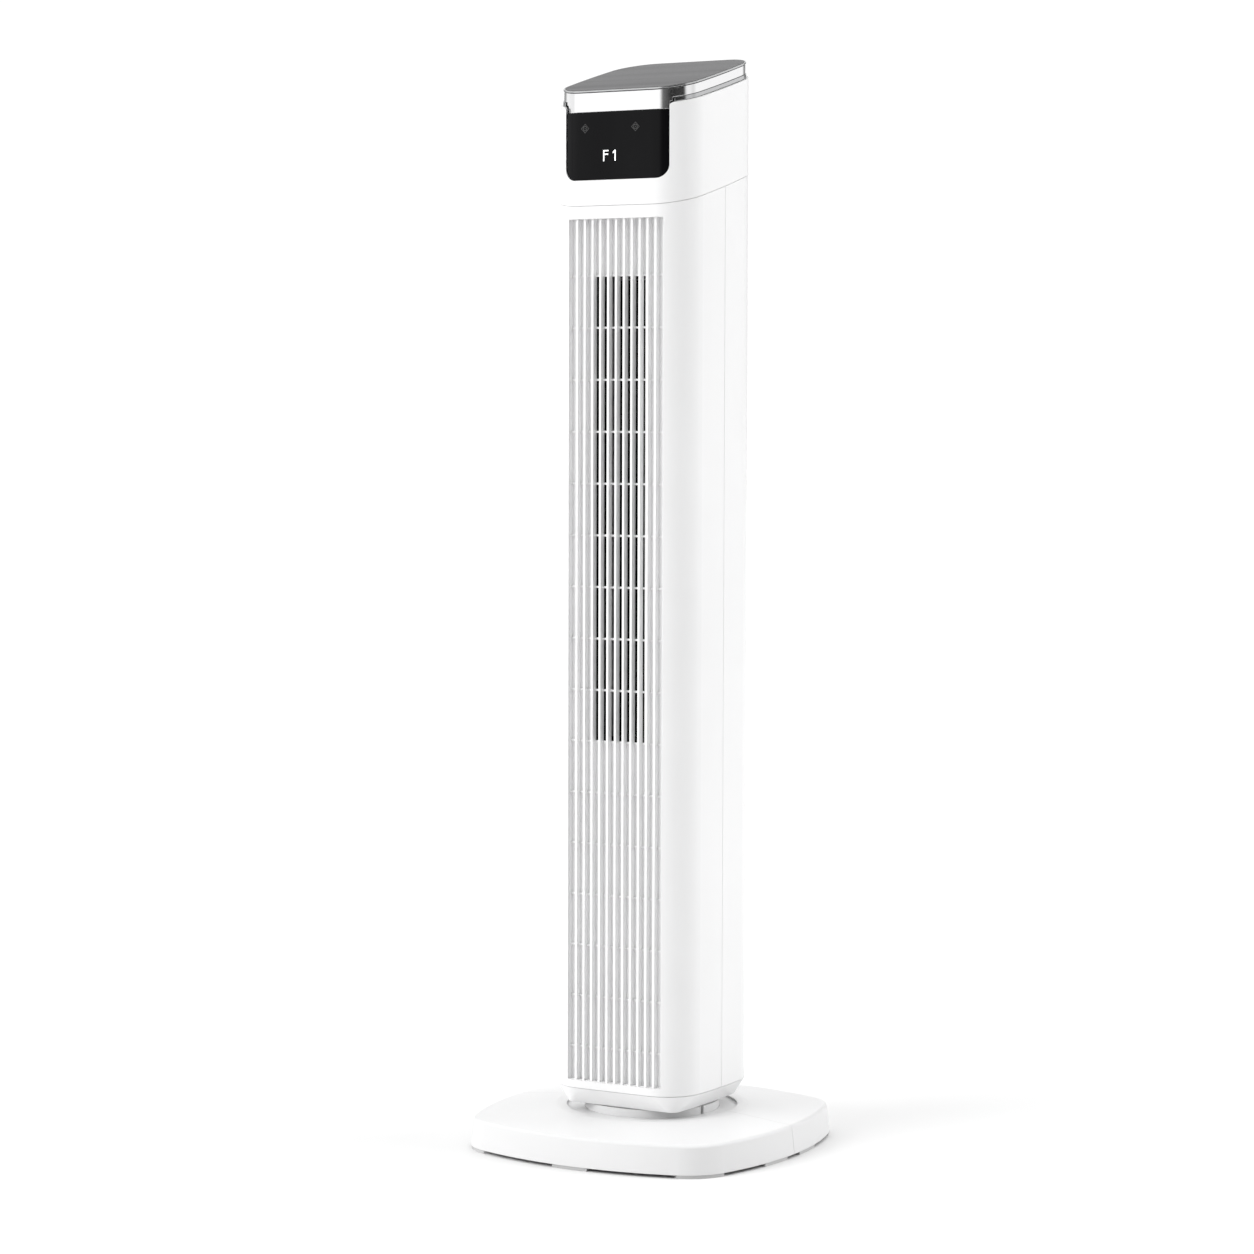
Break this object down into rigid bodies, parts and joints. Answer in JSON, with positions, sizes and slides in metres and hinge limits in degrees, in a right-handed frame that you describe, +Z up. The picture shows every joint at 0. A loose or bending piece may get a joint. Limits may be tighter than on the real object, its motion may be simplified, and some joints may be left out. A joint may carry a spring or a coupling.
{
  "type": "tower fan",
  "caption": "Tall slim tower fan: bowed casing with a finned grille, sloping head with a dark display, on a broad low base it swings on.",
  "frame": {"origin": "on the floor, under the middle of the base", "axes": "+Z up, the grille faces -Y, +X to the right of a person facing the fan"},
  "size_m": [0.2984, 0.2984, 0.9991],
  "materials": {
    "white_shell": "satin gloss white moulded plastic",
    "base_white": "satin gloss white moulded plastic",
    "grille_white": "satin gloss white moulded plastic",
    "panel_white": "matt pale plastic",
    "duct_grey": "matt dark grey plastic",
    "foot_rubber": "pale grey rubber",
    "screw_steel": "zinc plated",
    "frame_black": "matt black plastic",
    "lens_black": "mirror gloss black",
    "digit_white": "lit white",
    "mark_grey": "printed grey",
    "band_bright": "mirror polished chrome plate",
    "trim_chrome": "polished chrome plate",
    "panel_grey": "grey gloss",
    "acetal": "natural acetal",
    "gear_acetal": "natural acetal",
    "plate_steel": "galvanised sheet",
    "motor_steel": "dark enamel",
    "stator_copper": "varnished windings",
    "bronze": "sintered bronze",
    "impeller_black": "matt black plastic",
    "rubber_black": "soft black rubber",
    "board_green": "circuit board"
  },
  "bodies": {
    "base": {"base_front_half": "base_white", "base_rear_half": "base_white", "foot_pads": "foot_rubber", "base_screws": "screw_steel", "collar": "base_white", "pivot_post": "acetal", "post_screws": "screw_steel", "slip_ring": "acetal", "swing_gear": "gear_acetal", "post_clip": "screw_steel", "cord_gland": "rubber_black"},
    "column": {"skirt": "white_shell", "pivot_bush": "acetal", "chassis_plate": "plate_steel", "chassis_screws": "screw_steel", "swing_motor": "plate_steel", "power_board": "board_green", "front_shell": "white_shell", "rear_shell": "white_shell", "carry_grip": "white_shell", "casing_screws": "screw_steel", "front_grille": "grille_white", "outlet_panel": "panel_white", "rear_grille": "grille_white", "air_duct": "duct_grey", "motor_bulkhead": "plate_steel", "motor_housing": "motor_steel", "motor_cap": "motor_steel", "motor_stator": "stator_copper", "motor_bearings": "bronze", "motor_screws": "screw_steel", "bearing_holder": "duct_grey", "top_bearing": "bronze", "head_shell": "white_shell", "cap_frame": "frame_black", "lens_frame": "frame_black", "display_lens": "lens_black", "cap_band": "band_bright", "trim_band": "trim_chrome", "top_rim": "trim_chrome", "top_panel": "panel_grey", "display_digits": "digit_white", "touch_marks": "mark_grey", "display_board": "board_green", "control_board": "board_green"},
    "impeller": {"impeller_drum": "impeller_black", "drum_coupling": "rubber_black", "motor_shaft": "screw_steel", "motor_rotor": "motor_steel", "impeller_pin": "screw_steel"},
    "swing_pinion": {"drive_pinion": "gear_acetal"}
  },
  "joints": [
    {"name": "swing", "type": "hinge", "parent": "base", "child": "column", "pos_m": [0, 0, 0.045], "axis": [0, 0, 1], "range_deg": [-40, 40]},
    {"name": "impeller_spin", "type": "hinge", "parent": "column", "child": "impeller", "pos_m": [0, 0.014, 0.58], "axis": [0, 0, 1], "continuous": true},
    {"name": "pinion_spin", "type": "hinge", "parent": "column", "child": "swing_pinion", "pos_m": [0, 0.03775, 0.05], "axis": [0, 0, 1], "range_deg": [-170, 170]}
  ],
  "couplings": [
    {"joint": "pinion_spin", "follows": "swing", "ratio": 4}
  ]
}
